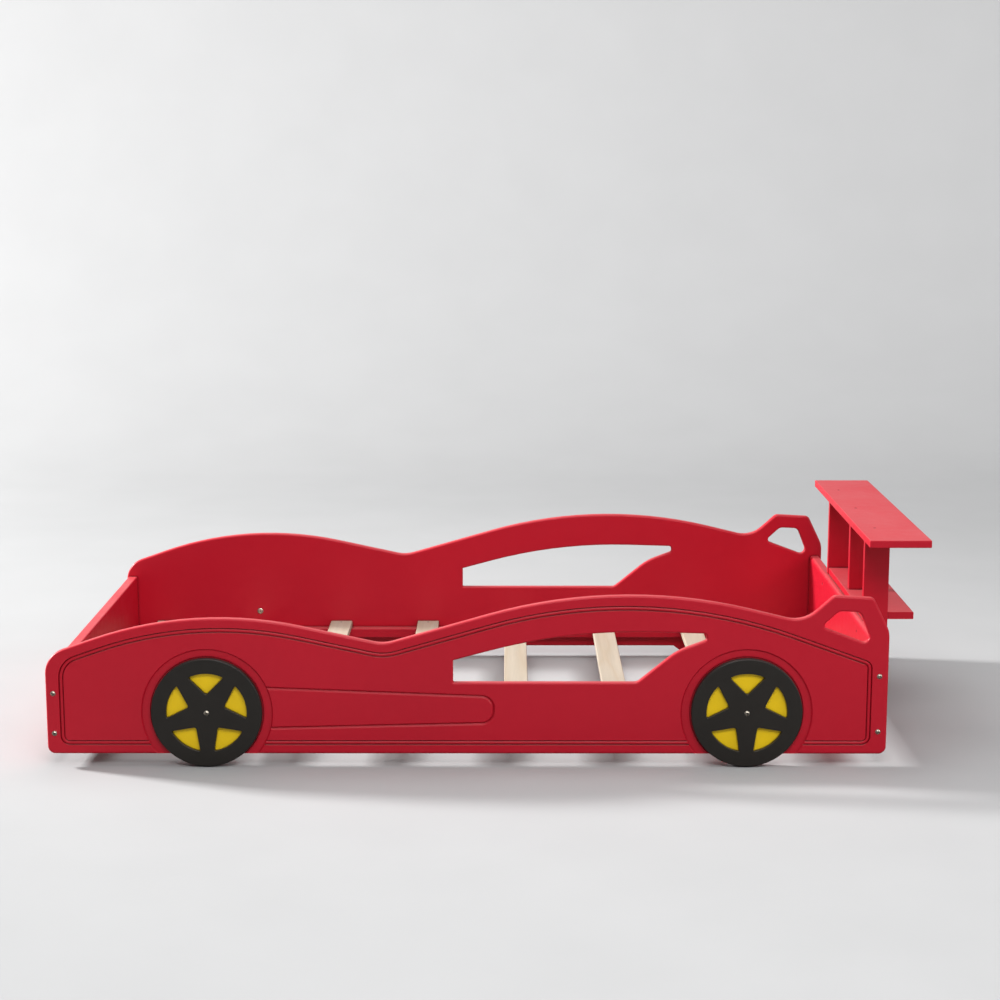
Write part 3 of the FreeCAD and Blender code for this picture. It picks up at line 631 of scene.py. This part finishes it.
def fit_fasteners():
    for node, thread_length in (("corner_bolts", 26 * MM), ("axle_bolts", 12 * MM)):
        fit_pieces(node, lambda length: bolt_mesh(length - BOLT_HEAD_RISE, thread_length),
                   lift=BOLT_HEAD_RISE)
    fit_pieces("axle_nuts", sleeve_nut_mesh, twist=0.4, axis=1)
    fit_pieces("corner_dowels", dowel_mesh)
    fit_pieces("corner_barrel_nuts", barrel_nut_mesh, twist=0.0)
    for node in ("blade_screws", "upright_screws", "shelf_screws", "ledger_screws", "slat_screws"):
        fit_pieces(node, screw_mesh)


# ------------------------------------------------------------------ studio
def studio_floor():
    """Pale floor that curves up into a backdrop behind the bed."""
    half_width, front, back, height = 24.0, -24.0, 6.0, 9.0
    bend, steps = 2.5, 14
    profile = [(front, 0.0), (back - bend, 0.0)]
    for k in range(1, steps + 1):
        angle = TURN / 4 * k / steps
        profile.append((back - bend + bend * math.sin(angle), bend - bend * math.cos(angle)))
    profile.append((back, height))
    shape = bmesh.new()
    rows = [[shape.verts.new((x, y, z)) for x in (-half_width, half_width)] for y, z in profile]
    for low, high in zip(rows, rows[1:]):
        shape.faces.new((low[0], low[1], high[1], high[0]))
    mesh = bpy.data.meshes.new("studio_floor")
    shape.to_mesh(mesh)
    shape.free()
    for face in mesh.polygons:
        face.use_smooth = True
    floor = bpy.data.objects.new("studio_floor", mesh)
    bpy.context.scene.collection.objects.link(floor)
    mesh.materials.append(studio_paper())


def studio_paper():
    """Matt paper, shown evenly pale to the camera and darker to the light it sends back."""
    shown_tint, bounce_tint, mirror_tint = ((grey, grey, grey, 1.0) for grey in (0.43, 0.30, 0.11))
    far_glow = 0.34
    material, tree, shader, position = start_material("studio_floor")
    tone = remap(tree, noise(tree, position, 3.0, 4.0), 0.3, 0.7, 0.98, 1.015)
    spot = place(tree, "SeparateXYZ", {0: position}).outputs
    evened = product(tree, tone, remap(tree, spot["X"], -4.5, 1.5, 0.70, 1.0, smooth=True))
    paper = place(tree, "HueSaturation", {"Value": evened, "Color": shown_tint})
    ray = place(tree, "LightPath").outputs
    in_front = remap(tree, spot["Y"], 0.8, 2.4, 1.0, 0.0)
    dim = product(tree, ray["Is Glossy Ray"], in_front)
    bounced = blend_colour(tree, dim, bounce_tint, mirror_tint)
    shown = blend_colour(tree, ray["Is Camera Ray"], bounced, paper.outputs[0])
    tree.links.new(shown, shader.inputs["Base Color"])
    away = place(tree, "VectorMath", {0: position}, operation="LENGTH").outputs["Value"]
    glow = product(tree, remap(tree, away, 3.0, 9.0, 0.0, far_glow), ray["Is Camera Ray"])
    tree.links.new(glow, shader.inputs["Emission Strength"])
    shader.inputs["Emission Color"].default_value = (1.0, 1.0, 1.0, 1.0)
    shader.inputs["Roughness"].default_value = 0.9
    return material


def softbox(name, at, target, width, height, watts):
    """Area light of the given size, turned toward the target."""
    data = bpy.data.lights.new(name, "AREA")
    data.shape, data.size, data.size_y, data.energy = "RECTANGLE", width, height, watts
    lamp = bpy.data.objects.new(name, data)
    lamp.location = at
    lamp.rotation_euler = (Vector(target) - Vector(at)).to_track_quat("-Z", "Y").to_euler()
    bpy.context.scene.collection.objects.link(lamp)


def studio_lights():
    softbox("overhead", (-0.6, 0.4, 4.2), (0.0, 0.0, 0.2), 3.4, 2.6, 90)
    softbox("foot_end", (-7.5, 1.95, 3.4), (0.2, 0.0, 0.3), 0.9, 0.9, 1400)
    softbox("front", (0.6, -4.4, 4.0), (0.0, 0.0, 0.2), 3.4, 1.8, 150)
    softbox("head_end", (4.6, -2.0, 2.4), (0.6, 0.0, 0.3), 2.0, 2.0, 60)


def studio_world():
    """Even light from all round, a little paler where the camera sees it past the backdrop."""
    fill_strength, shown_strength = 0.36, 0.47
    world = bpy.data.worlds.new("studio")
    world.use_nodes = True
    tree = world.node_tree
    background = tree.nodes["Background"]
    background.inputs["Color"].default_value = (0.94, 0.96, 1.0, 1.0)
    seen = place(tree, "LightPath").outputs["Is Camera Ray"]
    strength = remap(tree, seen, 0.0, 1.0, fill_strength, shown_strength)
    tree.links.new(strength, background.inputs["Strength"])
    bpy.context.scene.world = world


def photograph_camera():
    """Camera of the photograph: in front of the car's left side, a little toward the head end."""
    focal_px, frame_px = 2004.6, 1000
    at = Vector((0.0417, -5.0845, 1.4493))
    yaw, pitch, roll = math.radians(0.224), math.radians(10.076), math.radians(-0.038)
    ahead = Vector((-math.sin(yaw) * math.cos(pitch), math.cos(yaw) * math.cos(pitch), -math.sin(pitch)))
    level = Vector((math.cos(yaw), math.sin(yaw), 0.0))
    up = level.cross(ahead)
    right = level * math.cos(roll) + up * math.sin(roll)
    up = right.cross(ahead)
    data = bpy.data.cameras.new("photograph")
    data.sensor_width = 36.0
    data.lens = focal_px / frame_px * data.sensor_width
    camera = bpy.data.objects.new("photograph", data)
    turned = Matrix((right, up, -ahead)).transposed().to_4x4()
    camera.matrix_world = Matrix.Translation(at) @ turned
    bpy.context.scene.collection.objects.link(camera)
    bpy.context.scene.camera = camera


dress_frame()
fit_fasteners()
studio_floor()
studio_lights()
studio_world()
photograph_camera()
bpy.context.scene.view_settings.view_transform = "Standard"
